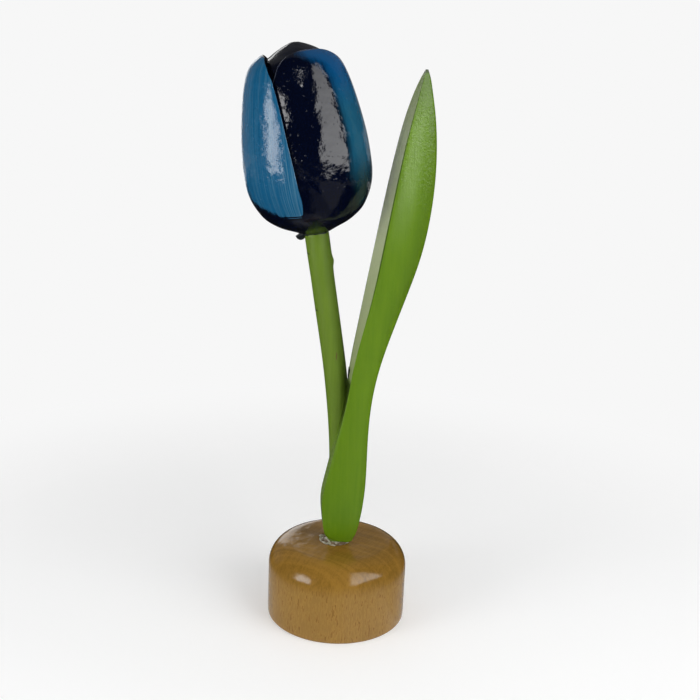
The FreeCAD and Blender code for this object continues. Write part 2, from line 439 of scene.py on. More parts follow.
def arc_points(centre, radius, first, last, count):
    """Points on an arc between two angles in degrees, ends included."""
    angle = np.radians(np.linspace(first, last, count))
    return np.array(centre) + radius * np.stack([np.cos(angle), np.sin(angle)], axis=-1)


def grid_faces(rows, columns, rows_close, columns_close):
    """Quads between neighbouring rows and columns of a grid that may close either way round."""
    row = np.arange(rows if rows_close else rows - 1)[:, None]
    column = np.arange(columns if columns_close else columns - 1)[None, :]
    next_row = (row + 1) % rows
    next_column = (column + 1) % columns
    corners = [
        row * columns + column,
        row * columns + next_column,
        next_row * columns + next_column,
        next_row * columns + column,
    ]
    return np.stack(corners, axis=-1).reshape(-1, 4)


def cap_faces(pole, ring):
    """Triangles from one pole point to a ring of points."""
    return np.stack([np.full(len(ring), pole), np.roll(ring, -1), ring], axis=-1)


def volume(points, faces):
    """Signed volume inside a closed surface of triangles."""
    a, b, c = (points[faces[:, i]] for i in range(3))
    return np.einsum("ij,ij->i", a, np.cross(b, c)).sum() / 6


def middles(rows):
    """The middle of the first row and the middle of the last."""
    return np.stack([rows[0].mean(axis=0), rows[-1].mean(axis=0)])


def first_mark(values):
    """Marks whose first number is given and whose others are 0."""
    return np.stack([values, 0 * values, 0 * values], axis=-1)


def new_object(name, points, faces, material):
    """An object at the origin, with smooth faces."""
    mesh = bpy.data.meshes.new(name)
    mesh.from_pydata(points.tolist(), [], faces)
    mesh.polygons.foreach_set("use_smooth", np.ones(len(faces), dtype=bool))
    mesh.materials.append(material)
    mesh.update()
    made = bpy.data.objects.new(name, mesh)
    bpy.context.scene.collection.objects.link(made)
    return made


def build(name, node, rows, material, ends=None, marks=None):
    """Makes a closed piece from a grid of points, rows by columns, that goes round in its columns.

    With two end points the first and the last row are closed to them. Without them the rows go
    round too, like a ring's. The faces are turned outwards by the sign of the volume. Marks are
    three numbers for each point, kept in an attribute for the material.
    """
    count, columns = rows.shape[:2]
    points = rows.reshape(-1, 3)
    quads = grid_faces(count, columns, ends is None, True)
    triangles = np.concatenate([quads[:, [0, 1, 2]], quads[:, [0, 2, 3]]])
    faces = quads.tolist()
    if ends is not None:
        first = np.arange(columns)
        last = first + (count - 1) * columns
        low = cap_faces(len(points), first)
        high = cap_faces(len(points) + 1, last)[:, ::-1]
        points = np.vstack([points, ends])
        triangles = np.concatenate([triangles, low, high])
        faces += low.tolist() + high.tolist()
    if volume(points, triangles) < 0:
        faces = [face[::-1] for face in faces]
    piece = new_object(name, points, faces, material)
    if marks is not None:
        flat = marks.reshape(-1, 3)
        if ends is not None:
            flat = np.vstack([flat, middles(marks)])
        layer = piece.data.attributes.new("marks", "FLOAT_VECTOR", "POINT")
        layer.data.foreach_set("vector", flat.astype(np.float32).ravel())
    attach(piece, "root")
    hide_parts(node)


class Value:
    """A node's output that takes part in sums, differences and products."""

    def __init__(self, paint, socket):
        self.paint = paint
        self.socket = socket

    def __add__(self, other):
        return self.paint.maths("ADD", self, other)

    def __sub__(self, other):
        return self.paint.maths("SUBTRACT", self, other)

    def __rsub__(self, other):
        return self.paint.maths("SUBTRACT", other, self)

    def __mul__(self, other):
        return self.paint.maths("MULTIPLY", self, other)

    __radd__ = __add__
    __rmul__ = __mul__


class Paint:
    """A new material and the nodes that give it its colour, gloss and grain."""

    def __init__(self, name):
        self.material = bpy.data.materials.new(name)
        self.material.use_nodes = True
        self.tree = self.material.node_tree
        self.tree.nodes.clear()

    def node(self, kind, settings, values, output=0):
        """Adds a node: its settings first, then the values or links of its sockets."""
        node = self.tree.nodes.new("ShaderNode" + kind)
        for key, setting in settings.items():
            if key == "stops":
                self.set_stops(node.color_ramp, setting)
            else:
                setattr(node, key, setting)
        for key, value in values.items():
            if isinstance(value, Value):
                self.tree.links.new(value.socket, node.inputs[key])
            else:
                node.inputs[key].default_value = value
        return Value(self, node.outputs[output]) if node.outputs else None

    def set_stops(self, ramp, stops):
        """Gives a ramp one grey element for each place and level."""
        while len(ramp.elements) < len(stops):
            ramp.elements.new(1.0)
        for element, (place, level) in zip(ramp.elements, stops):
            element.position = place
            element.color = (level, level, level, 1.0)

    def maths(self, operation, first, second=0.0):
        """One Math node on one or two values."""
        return self.node("Math", {"operation": operation}, {0: first, 1: second})

    def larger(self, first, second):
        """The larger of two values."""
        return self.maths("MAXIMUM", first, second)

    def place(self):
        """Object coordinates in millimetres."""
        coordinates = self.node("TexCoord", {}, {}, "Object")
        return self.node("VectorMath", {"operation": "SCALE"}, {0: coordinates, "Scale": 1 / MILLIMETRE})

    def marks(self):
        """The piece's own coordinates, as three values."""
        return self.parts(self.node("Attribute", {"attribute_name": "marks"}, {}, "Vector"))

    def parts(self, vector):
        """The three values of a vector."""
        first = self.node("SeparateXYZ", {}, {0: vector})
        return [Value(self, output) for output in first.socket.node.outputs]

    def from_axis(self):
        """Distance from the vertical axis in millimetres."""
        x, y, _ = self.parts(self.place())
        return self.maths("SQRT", x * x + y * y)

    def vector(self, x, y, z):
        """A vector of three values."""
        return self.node("CombineXYZ", {}, {0: x, 1: y, 2: z})

    def stretched(self, vector, x, y, z):
        """A vector times one factor along each axis: below 1, a pattern on it grows longer."""
        return self.node("VectorMath", {"operation": "MULTIPLY"}, {0: vector, 1: (x, y, z)})

    def grained(self, place, factor):
        """Places on which a pattern is drawn out upwards, along the grain."""
        return self.stretched(place, 1.0, 1.0, factor)

    def noise(self, vector, scale, detail=2.0, roughness=0.5):
        """Soft noise around 0.5."""
        values = {"Vector": vector, "Scale": scale, "Detail": detail, "Roughness": roughness}
        return self.node("TexNoise", {}, values, "Fac")

    def step(self, value, low, high):
        """0 below low, 1 above high, smooth between."""
        values = {"Value": value, "From Min": low, "From Max": high}
        return self.node("MapRange", {"interpolation_type": "SMOOTHSTEP"}, values)

    def between(self, value, rise, fall):
        """1 between a rise and a fall, each given by its two ends, and 0 outside them."""
        return self.step(value, *rise) * (1 - self.step(value, *fall))

    def mix(self, share, first, second):
        """A colour between two others."""
        values = {"Factor": share, 6: self.colour(first), 7: self.colour(second)}
        return self.node("Mix", {"data_type": "RGBA"}, values, 2)

    def colour(self, value):
        """A link as it is, or three numbers with an alpha of 1."""
        return value if isinstance(value, Value) else (*value, 1.0)

    def bump(self, height, distance):
        """A normal from a height, whose unit is a distance in metres."""
        return self.node("Bump", {}, {"Height": height, "Distance": distance, "Strength": 1.0})

    def spot(self, place, centre, size):
        """1 at a centre given in millimetres, falling to 0 at an ellipsoid of half sizes."""
        apart = self.node("VectorMath", {"operation": "SUBTRACT"}, {0: place, 1: centre})
        scaled = self.stretched(apart, *(1 / length for length in size))
        reach = self.node("VectorMath", {"operation": "LENGTH"}, {0: scaled}, "Value")
        return 1 - self.step(reach, 0.45, 1.0)

    def background_rays(self):
        """1 for camera, mirror and glass rays, which are to see a pale background, and 0 for light."""
        kinds = ("Is Camera Ray", "Is Glossy Ray", "Is Transmission Ray")
        camera, mirror, glass = (self.node("LightPath", {}, {}, kind) for kind in kinds)
        return self.larger(self.larger(camera, mirror), glass)

    def end(self, shader):
        """Ends the material in a shader."""
        self.node("OutputMaterial", {}, {"Surface": shader})
        return self.material

    def finish(self, colour, roughness, normal, fixed):
        """Ends the material in one Principled shader."""
        values = {"Base Color": colour, "Roughness": roughness, "Normal": normal, **fixed}
        return self.end(self.node("BsdfPrincipled", {}, values))


def scaled(colour, factor):
    """A colour made darker or lighter."""
    return tuple(factor * part for part in colour)


def beech_varnish(settings):
    """Turned beech under gloss varnish.

    Growth bands cross the whole foot, with rays across them on its top. The side is paler and
    shows fine pores and dark flecks along the grain.
    """
    paint = Paint("varnished_beech")
    place = paint.place()
    x, y, z = paint.parts(place)
    wobble = paint.noise(paint.grained(place, 0.15), 0.05, 1.0)
    across = x * 0.50 + y * 0.87 + wobble * 1.3
    along = x * 0.87 - y * 0.50
    on_top = paint.step(z, 16.5, 23.5)
    rings = paint.noise(paint.vector(across, z * 0.03, along * 0.02), 0.45, 3.0, 0.6) - 0.5
    rays = paint.noise(paint.vector(along, z * 0.05, across * 0.12), 1.3, 2.0) - 0.5
    clouds = paint.noise(place, 0.07, 2.0) - 0.5
    pores = paint.noise(paint.grained(place, 0.15), 1.9, 2.0, 0.6)
    grain = (pores - 0.5) * (1.9 - on_top * 1.4)
    tone = clouds * 0.4 + rings * (0.30 + on_top * 0.36) + rays * (on_top * 0.26) + grain
    wood = paint.mix(paint.step(tone, -0.22, 0.22), settings.dark_wood, settings.light_wood)
    wood = paint.mix((1 - on_top) * 0.40, wood, settings.side_wood)
    flecks = paint.step(pores, 0.56, 0.68) * (1 - on_top * 0.85)
    colour = paint.mix(flecks * 0.72, wood, settings.fleck)
    peel = paint.noise(place, 0.30, 2.0) * 0.8 + pores * 0.05 + paint.noise(place, 1.3, 2.0) * 0.06
    normal = paint.bump(peel, 0.00016)
    return paint.finish(colour, 0.16, normal, {"Specular IOR Level": 0.44})


def green_streaks(paint, place, base, streak_scale):
    """Brushed green: long faint streaks, soft clouds and a few small dark specks."""
    streaks = paint.noise(paint.grained(place, 0.045), streak_scale, 3.0, 0.6)
    clouds = paint.noise(paint.grained(place, 0.4), 0.08, 2.0)
    specks = paint.step(paint.noise(place, 1.1, 2.0), 0.72, 0.79)
    dark = scaled(base, 0.88)
    light = (base[0] * 1.12, base[1] * 1.06, base[2] * 1.2)
    tone = paint.step(streaks * 0.5 + clouds * 0.5, 0.30, 0.70)
    return paint.mix(specks * 0.45, paint.mix(tone, dark, light), dark)


def paint_relief(paint, place):
    """The height of thick satin paint over wood: orange peel with a little long grain."""
    peel = paint.noise(place, 0.75, 3.0, 0.6)
    grain = paint.noise(paint.grained(place, 0.06), 1.9, 2.0)
    return peel * 0.7 + grain * 0.3


def stem_green(settings):
    """Satin green on the dowel with its scars, dark dashes and a scratch, and a dented slit darkened by
    painted shadow.

    Painted shade darkens the leaf's notch and, above it, the leaning length's right side.
    """
    paint = Paint("stem_paint")
    place = paint.place()
    x, _, z = paint.parts(place)
    colour = green_streaks(paint, place, settings.paint, 1.0)
    # Painted shade: darker in the leaf's notch, and above it along the leaning length's right side
    notch_shade = paint.spot(place, *STEM_NOTCH_SHADE)
    right_side_shade = paint.step(x + z * math.tan(settings.lean), 12.4, 16.2) * paint.step(z, 60.0, 90.0)
    shade = paint.larger(notch_shade * 0.95, right_side_shade * 0.45)
    colour = paint.mix(shade, colour, scaled(settings.paint, 0.30))
    dashes = paint.larger(*(paint.spot(place, *dash) for dash in STEM_DASHES))
    # The slit's darkness is painted shadow of the gap behind the leaf's edge, over a dent
    slit = paint.spot(place, *STEM_SHADOW_SLIT)
    ragged = paint.step(paint.noise(place, 0.5, 1.0), 0.3, 0.6) * 0.4 + 0.5
    colour = paint.mix(paint.larger(dashes, slit) * ragged, colour, scaled(settings.paint, 0.22))
    colour = paint.mix(paint.spot(place, *STEM_SCRATCH) * 0.8, colour, settings.bare_wood)
    relief = paint_relief(paint, place) - dashes * 0.5 - slit * 0.8
    return paint.finish(colour, 0.36, paint.bump(relief, 0.00022), {"Specular IOR Level": 0.30})


def leaf_green(settings):
    """Satin green on the carved leaf.

    The marks are 1 on the flat inner face, the height share, and the share of the way from the
    front edge over the outer side. The inner face is paler, with a ragged border: a thinner coat
    under painted reflection of the pale surroundings, and painted fill light lifts it further
    below about four fifths of the height. Outside, a painted highlight lies beside the front edge
    high up, and painted shade darkens the side further round and near the tip. The front edge
    and the tip are dark, and painted shade darkens the notch behind the stem.
    """
    paint = Paint("leaf_paint")
    place = paint.place()
    z = paint.parts(place)[2]
    inner, height, from_edge = paint.marks()
    colour = green_streaks(paint, place, settings.paint, 0.7)
    worn = paint.noise(paint.grained(place, 0.12), 0.7, 3.0)
    streaky = paint.noise(paint.grained(place, 0.25), 0.35, 3.0)
    # Painted reflection on the flat inner face: full from mid height up, a quarter of it near the lower end
    low_sheen = (1 - paint.step(height, 0.20, 0.27)) * 0.25
    flat = paint.step(inner + worn * 0.12, 0.52, 0.72)
    pale = flat * paint.larger(paint.step(height, 0.30, 0.42), low_sheen)
    # Painted highlight: a pale streaky band beside the front edge, high up on the outer side
    beside_edge = paint.between(from_edge, (0.06, 0.14), (0.20, 0.30))
    painted_sheen = beside_edge * paint.between(height, (0.62, 0.80), (0.88, 0.97))
    colour = paint.mix(painted_sheen * (streaky * 0.30 + 0.15), colour, settings.sheen_colour)
    # Painted shade: darker green on the outer side further round, away from the light, and near the tip
    thick = paint.step(from_edge, 0.24, 0.38) * paint.step(height, 0.40, 0.60) * 0.34
    thick = paint.larger(thick, paint.step(height, 0.88, 0.98) * 0.55)
    colour = paint.mix(thick, colour, scaled(settings.paint, 0.45))
    # Painted fill light: below about four fifths of the height the inner face is paler still, against the
    # bloom's shadow
    painted_fill_light = (1 - paint.step(height, 0.78, 0.92)) * 0.45
    inner_paint_and_sheen = paint.mix(painted_fill_light, settings.inner_paint_and_sheen, scaled(settings.inner_paint_and_sheen, 1.6))
    colour = paint.mix(pale * (1 - paint.step(height, 0.90, 1.0) * 0.6), colour, inner_paint_and_sheen)
    edge = (1 - paint.step(from_edge, 0.030, 0.060)) * (1 - pale) * paint.step(height, 0.42, 0.62)
    colour = paint.mix(edge * 0.8, colour, scaled(settings.paint, 0.18))
    # Painted shade: the inner face is dark in the notch behind the stem
    notch = paint.step(inner, 0.3, 0.6) * paint.between(z, (68.0, 80.0), (89.0, 91.5))
    tip = paint.step(height + worn * 0.004, 0.993, 0.998)
    colour = paint.mix(paint.larger(notch * 0.9, tip * 0.8), colour, scaled(settings.paint, 0.12))
    normal = paint.bump(paint_relief(paint, place), 0.00026)
    return paint.finish(colour, 0.27, normal, {"Specular IOR Level": 0.37})


def bloom_lacquer(settings, name, band_shift, band_foot, streaks, base_gloss=0.05, level=0.5):
    """Near-black and brushed blue under high gloss lacquer.

    The marks are a petal's offset from its middle in right angles, its height share, and 1 on
    its outer face, so that the blue band follows the petal's right edge up to its tip. A petal
    without streaks is smooth blue, which changes from its foot to its tip, and has a painted
    highlight along its edges and tip on its upper part.
    """
    paint = Paint(name)
    place = paint.place()
    offset, height, face = paint.marks()
    fray = paint.noise(paint.vector(offset * 26.0, height * 4.0, band_shift), 1.0, 3.0, 0.6) - 0.5
    brush = paint.noise(paint.vector(offset * 90.0, height * 2.2, band_shift), 1.0, 3.0, 0.62)
    coarse = paint.noise(paint.vector(offset * 22.0, height * 1.6, band_shift + 5.0), 1.0, 2.0)
    band_edge = paint.node("ValToRGB", {"stops": BAND_EDGE}, {0: height}) - 0.5 + band_shift
    soft = 1 - paint.step(height, 0.76, 0.95) * 0.62
    band = paint.step((offset - band_edge) * soft + fray * 0.09, -0.045, 0.085)
    slant = paint.larger((0.86 - offset) * 0.22, 0.0) + band_foot
    foot_end = paint.step(height - slant + (brush - 0.5) * 0.13, -0.010, 0.014)
    cover = band * foot_end * paint.step(face, 0.15, 0.45)
    side = paint.mix(paint.step(height, 0.22, 0.48), settings.low_blue, settings.side_blue)
    smooth = paint.mix(paint.step(height, 0.62, 0.92), side, settings.top_blue)
    light = paint.step(brush * 0.65 + coarse * 0.35, 0.44, 0.66)
    light = light * (paint.step(offset, 0.30, 0.85) * 0.50 + 0.35)
    brushed = paint.mix(light, settings.blue, settings.light_blue)
    colour = paint.mix(cover, settings.navy, paint.mix(streaks, smooth, brushed))
    # Painted highlight: a grey-blue line on a smooth petal's edges and tip, high up, for light caught by
    # the rounded rim
    rim_highlight_edge = paint.larger(1 - paint.step(face, 0.88, 0.997), paint.step(height, 0.9915, 0.9965))
    rim = rim_highlight_edge * paint.step(height, 0.72, 0.86) * ((1 - streaks) * 0.8)
    colour = paint.mix(rim, colour, settings.rim_highlight_blue)
    ripples = paint.noise(place, 0.17, 2.0) * 1.2 + paint.noise(place, 0.8, 3.0, 0.6) * 0.19
    blisters = paint.spot(place, settings.blister_place, BLISTER_SIZE)
    blisters = blisters * paint.step(paint.noise(place, 2.0, 1.0), 0.42, 0.58) * 0.10
    ridges = brush * cover * (streaks * 0.06)
    dust = paint.step(paint.noise(place, 0.9, 0.0), 0.77, 0.82) * 0.12
    normal = paint.bump(ripples + blisters + ridges + dust, 0.0004)
    gloss = cover * (streaks * 0.08) + base_gloss
    return paint.finish(colour, gloss, normal, {"IOR": 1.5, "Specular IOR Level": level})


def hardened_glue(name, dark, light, roughness):
    """Uneven hardened glue: its first mark says where it is light."""
    paint = Paint(name)
    place = paint.place()
    pale = paint.marks()[0]
    clouds = paint.noise(place, 0.9, 3.0) - 0.5
    colour = paint.mix(paint.step(pale + clouds * 0.5, 0.35, 0.65), dark, light)
    normal = paint.bump(paint.noise(place, 1.6, 2.0), 0.0003)
    return paint.finish(colour, roughness, normal, {})


def lamp_light(name, radiance):
    """A luminous sheet, dimmer towards its top."""
    paint = Paint(name)
    height = paint.parts(paint.place())[2]
    strength = (1 - paint.step(height, *LAMP_FALL_HEIGHTS) * LAMP_FALL) * radiance
    return paint.end(paint.node("Emission", {}, {"Strength": strength}))


def card_light(name, radiance, glow):
    """A faintly luminous card, brighter near the axis by a glow."""
    paint = Paint(name)
    near = 1 - paint.step(paint.from_axis(), *CARD_GLOW_RADII)
    return paint.end(paint.node("Emission", {}, {"Strength": near * glow + radiance}))


def floor_card(settings):
    """Matt pale card that keeps the object's shadow near it and is evenly pale further away.

    The card's own light, seen only in the background, fills what the lamps leave below its
    brightness, and takes over between the two radii.
    """
    paint = Paint("floor_card")
    seen = paint.background_rays()
    card = paint.node("BsdfDiffuse", {}, {"Color": paint.colour(settings.floor)})
    fill = paint.node("Emission", {}, {"Strength": seen * settings.floor_fill})
    near = paint.node("AddShader", {}, {0: card, 1: fill})
    far = paint.node("Emission", {}, {"Strength": settings.backdrop})
    share = paint.step(paint.from_axis(), *FLOOR_RADII) * seen
    return paint.end(paint.node("MixShader", {}, {0: share, 1: near, 2: far}))


def stem_path(settings, along):
    """Points and directions on the stem's centre line: upright, then an arc, then a leaning line."""
    bend_start = FOOT_HEIGHT + settings.bend_rise
    upright = bend_start - SOCKET_FLOOR
    angle = np.clip((along - upright) / settings.bend_radius, 0, settings.lean)
    straight = np.maximum(along - upright - settings.bend_radius * settings.lean, 0)
    level = SOCKET_FLOOR + np.minimum(along, upright)
    across = -settings.bend_radius * (1 - np.cos(angle)) - straight * np.sin(angle)
    height = level + settings.bend_radius * np.sin(angle) + straight * np.cos(angle)
    centre = np.stack([across, np.full_like(across, STEM_SETBACK), height], axis=-1)
    direction = np.stack([-np.sin(angle), np.zeros_like(angle), np.cos(angle)], axis=-1)
    return centre, direction


def stem_length(settings, extra):
    """Length of the stem's centre line from its lower end to the bloom, and a bit more."""
    upright = FOOT_HEIGHT + settings.bend_rise - SOCKET_FLOOR
    return upright + settings.bend_radius * settings.lean + settings.reach + extra


def in_bloom(scene, points):
    """Points drawn about +Z from the origin, set on the stem's line at the bloom's base."""
    settings = scene.tulip_stem
    centre, direction = stem_path(settings, np.array([stem_length(settings, 0.0)]))
    right = np.array([direction[0][2], 0, -direction[0][0]])
    back = np.array([0.0, 1.0, 0.0])
    x, y, z = (points[..., i : i + 1] for i in range(3))
    return centre[0] + x * right + y * back + z * direction[0]


def polar(radius, azimuth_degrees, height):
    """Points about +Z. Azimuth 0 faces the front and 90 faces right."""
    azimuth = np.radians(azimuth_degrees)
    return np.stack([radius * np.sin(azimuth), -radius * np.cos(azimuth), height], axis=-1)


def dip_share(offset_degrees):
    """How far a petal has dipped under its left neighbour, left of its own middle."""
    share = np.clip(-offset_degrees / (PETAL_PITCH / 2), 0, 1)
    return (1 - np.cos(math.pi * share)) / 2


def petal_rows(settings, middle):
    """One petal as rows of closed sections from its hidden lower end to its tip.

    A section is an outer arc and an inner arc between the petal's left and right edges. The
    outer arc follows the bloom's profile and dips on its left, the inner arc lies one thickness
    further in, and both round off towards the edges and the tip. The rows crowd towards the
    tip, as a power of their number.
    """
    row_count = 120
    half_columns = 72
    crowding = 2.5
    depth = (np.linspace(0.985, 0.02, row_count) ** crowding)[:, None]
    knots = np.column_stack([PETAL_OUTLINE[:, 0] ** (1 / crowding), PETAL_OUTLINE[:, 1:]])
    edges = smoothed(knots, depth[:, 0] ** (1 / crowding))
    right = edges[:, :1]
    left = edges[:, 1:]
    swing = np.linspace(-math.pi / 2, math.pi / 2, half_columns, endpoint=False)
    share = np.concatenate([np.sin(swing), -np.sin(swing)])[None, :]
    outside = np.concatenate([np.ones(half_columns), np.zeros(half_columns)])[None, :] > 0
    offset = np.where(share > 0, right, left) * share
    height = np.broadcast_to(1 - depth, offset.shape)
    reach = smoothed(BLOOM_PROFILE, height)[..., 0] * settings.radius
    groove = ease(height, 0.10, 0.27)
    reach = reach - settings.dip * dip_share(offset) * groove
    reach = reach - settings.radius * MERGE_SINK * np.clip(MERGE_HEIGHT - height, 0, None) ** 2
    near_edge = np.abs(share) ** 5
    near_tip = 1 - ease(depth, 0.0, 0.16)
    body = (1 - near_edge) * (1 - near_tip)
    thick = settings.lip + (settings.thickness - settings.lip) * body
    edge_round = np.sqrt(np.clip(1 - np.abs(share) ** 70, 0, 1))
    tip_round = np.sqrt(np.clip(1 - (1 - np.clip(depth / 0.006, 0, 1)) ** 2, 0, 1))
    half = thick / 2 * edge_round * tip_round
    radius = reach - thick / 2 + np.where(outside, half, -half)
    radius = np.maximum(radius, 0.3 * reach)
    points = polar(radius, middle + offset, height * settings.height)
    outer_face = np.broadcast_to(np.where(outside, edge_round, 0), offset.shape)
    marks = np.stack([offset / 90, height, outer_face], axis=-1)
    return points, marks


def bud_rows(settings):
    """The closed bud as one turned form with three steps that run up to its top.

    Each third of a row goes from the foot of one step to the crest of the next, and the form
    dips at the foot of a step by a share that shrinks towards the top.
    """
    row_count = 90
    sector_columns = 48
    rise = 1 - (1 - np.linspace(0, 1, row_count)) ** 1.8
    height = (BUD_FOOT + (BUD_TOP - BUD_FOOT) * rise)[:, None]
    reach = smoothed(BUD_PROFILE, height)[..., 0] * settings.radius
    share = (1 - np.cos(np.linspace(0, math.pi, sector_columns))) / 2
    edge = 74 - 46 * ease(height, 0.86, 1.09)
    offset = edge - PETAL_PITCH * (1 - share)[None, :]
    dip_from = 14
    at_crest = 0.12 * (share > 0.999)
    dip = np.minimum(settings.bud_dip, 0.22 * reach) * (dip_share(offset - dip_from) + at_crest)
    level = np.broadcast_to(height, offset.shape)
    sector_middles = settings.first_bud_middle + PETAL_PITCH * np.arange(PETAL_COUNT)
    sectors = [polar(reach - dip, middle + offset, level * settings.height) for middle in sector_middles]
    points = np.concatenate(sectors, axis=1)
    points[..., 0] += settings.bud_shift * ease(height, 0.90, 1.0)
    marks = np.stack([offset / 90, level, 0 * offset], axis=-1)
    return points, np.concatenate([marks] * PETAL_COUNT, axis=1)


def core_profile(settings, bore_radius, bore_depth):
    """Radius and height along the bloom's core: bore, underside and the part inside the petals."""
    share = np.concatenate([np.linspace(0, 0.2, 60), np.linspace(0.21, 0.6, 40)])
    reach = smoothed(BLOOM_PROFILE, share)[..., 0] * settings.radius
    reach = reach - settings.radius * MERGE_SINK * np.clip(share - MERGE_HEIGHT, 0, None) ** 2
    outer = np.column_stack([reach, share * settings.height])
    bore = line_points((bore_radius, bore_depth), (bore_radius, 0), 8)
    return np.vstack([bore, outer])


class TulipOperator:
    """What the operators share."""

    bl_options = {"REGISTER", "UNDO"}


class TULIP_OT_foot(TulipOperator, bpy.types.Operator):
    """Turns the varnished beech foot with its socket"""

    bl_idname = "tulip.foot"
    bl_label = "Foot"

    def execute(self, context):
        settings = context.scene.tulip_foot
        edge = settings.edge_break
        shoulder = settings.shoulder
        lip = settings.socket_lip
        hole = SOCKET_RADIUS + CLEARANCE
        flat = FOOT_RADIUS - shoulder
        top = FOOT_HEIGHT
        profile = np.vstack(
            [
                line_points((MILLIMETRE, 0), (FOOT_RADIUS - edge, 0), 12),
                arc_points((FOOT_RADIUS - edge, edge), edge, -90, 0, 10),
                line_points((FOOT_RADIUS, edge + MILLIMETRE), (FOOT_RADIUS, top - shoulder), 24),
                arc_points((flat, top - shoulder), shoulder, 0, 90, 48),
                line_points((flat - MILLIMETRE, top), (hole + lip, top), 16),
                arc_points((hole + lip, top - lip), lip, 90, 180, 8),
                line_points((hole, top - lip - MILLIMETRE), (hole, SOCKET_FLOOR), 10),
                line_points((hole, SOCKET_FLOOR), (MILLIMETRE, SOCKET_FLOOR), 4),
            ]
        )
        rows = turned(profile, full_turn(192))
        with_socket = ease(-profile[:, 0], -flat, -hole - lip) * (profile[:, 1] > top / 3)
        rows[..., :2] += with_socket[:, None, None] * np.array(SOCKET_CENTRE)
        ends = np.array([(0, 0, 0), (*SOCKET_CENTRE, SOCKET_FLOOR)])
        build("turned_foot", "foot", rows, beech_varnish(settings), ends)
        return {"FINISHED"}


class TULIP_OT_stem(TulipOperator, bpy.types.Operator):
    """Bends the painted dowel"""

    bl_idname = "tulip.stem"
    bl_label = "Stem"

    def execute(self, context):
        settings = context.scene.tulip_stem
        along = np.linspace(0, stem_length(settings, settings.tenon), 260)[:, None]
        centre, direction = stem_path(settings, along[:, 0])
        turn = full_turn(64)[None, :]
        to_bloom = stem_length(settings, 0.0) - along
        swell = settings.swell * (1 - ease(np.abs(to_bloom), 0.006, 0.018))
        uneven = 0.00004 * ripple(along / 0.03, turn / math.tau, 3)
        drip = 0.0005 * bell(to_bloom, 0.0105, 0.0016) * bell(turn, math.radians(8), 0.35)
        below_bloom = to_bloom > 0.0005
        radius = STEM_RADIUS + np.where(below_bloom, swell + uneven + drip, 0)
        right = np.stack([direction[:, 2], 0 * direction[:, 0], -direction[:, 0]], axis=-1)
        front = np.array([0.0, -1.0, 0.0])
        around = np.cos(turn)[..., None] * right[:, None, :] + np.sin(turn)[..., None] * front
        rows = centre[:, None, :] + radius[..., None] * around
        build("bent_stem", "stem", rows, stem_green(settings), centre[[0, -1]])
        return {"FINISHED"}


class TULIP_OT_bloom(TulipOperator, bpy.types.Operator):
    """Carves the bloom: its core and underside, three petals and the closed bud"""

    bl_idname = "tulip.bloom"
    bl_label = "Bloom"

    def execute(self, context):
        scene = context.scene
        settings = scene.tulip_bloom
        bore_depth = scene.tulip_stem.tenon + MILLIMETRE
        core = turned(core_profile(settings, STEM_RADIUS + CLEARANCE, bore_depth), full_turn(160))
        ends = np.array([(0, 0, bore_depth), (0, 0, CORE_TOP * settings.height)])
        underside = bloom_lacquer(
            settings, "underside_lacquer", NO_BAND, 0.0, streaks=0.0, base_gloss=0.16, level=0.28
        )
        self.carve(scene, "bloom_core", core, underside, ends, np.zeros_like(core))
        for index, (name, *look) in enumerate(PETAL_LOOKS):
            points, marks = petal_rows(settings, settings.first_middle + PETAL_PITCH * index)
            lacquer = bloom_lacquer(settings, name + "_lacquer", *look)
            self.carve(scene, name, points, lacquer, middles(points), marks)
        points, marks = bud_rows(settings)
        pole = (settings.bud_shift, 0, BUD_POLE * settings.height)
        ends = np.array([(0, 0, BUD_FOOT * settings.height), pole])
        satin = bloom_lacquer(
            settings, "bud_lacquer", NO_BAND, 0.0, streaks=1.0, base_gloss=0.22, level=0.75
        )
        self.carve(scene, "bloom_bud", points, satin, ends, marks)
        return {"FINISHED"}

    def carve(self, scene, name, points, lacquer, ends, marks):
        """Builds one piece of the bloom on the stem's line."""
        rows = in_bloom(scene, points)
        build(name, "bloom", rows, lacquer, in_bloom(scene, ends), marks)


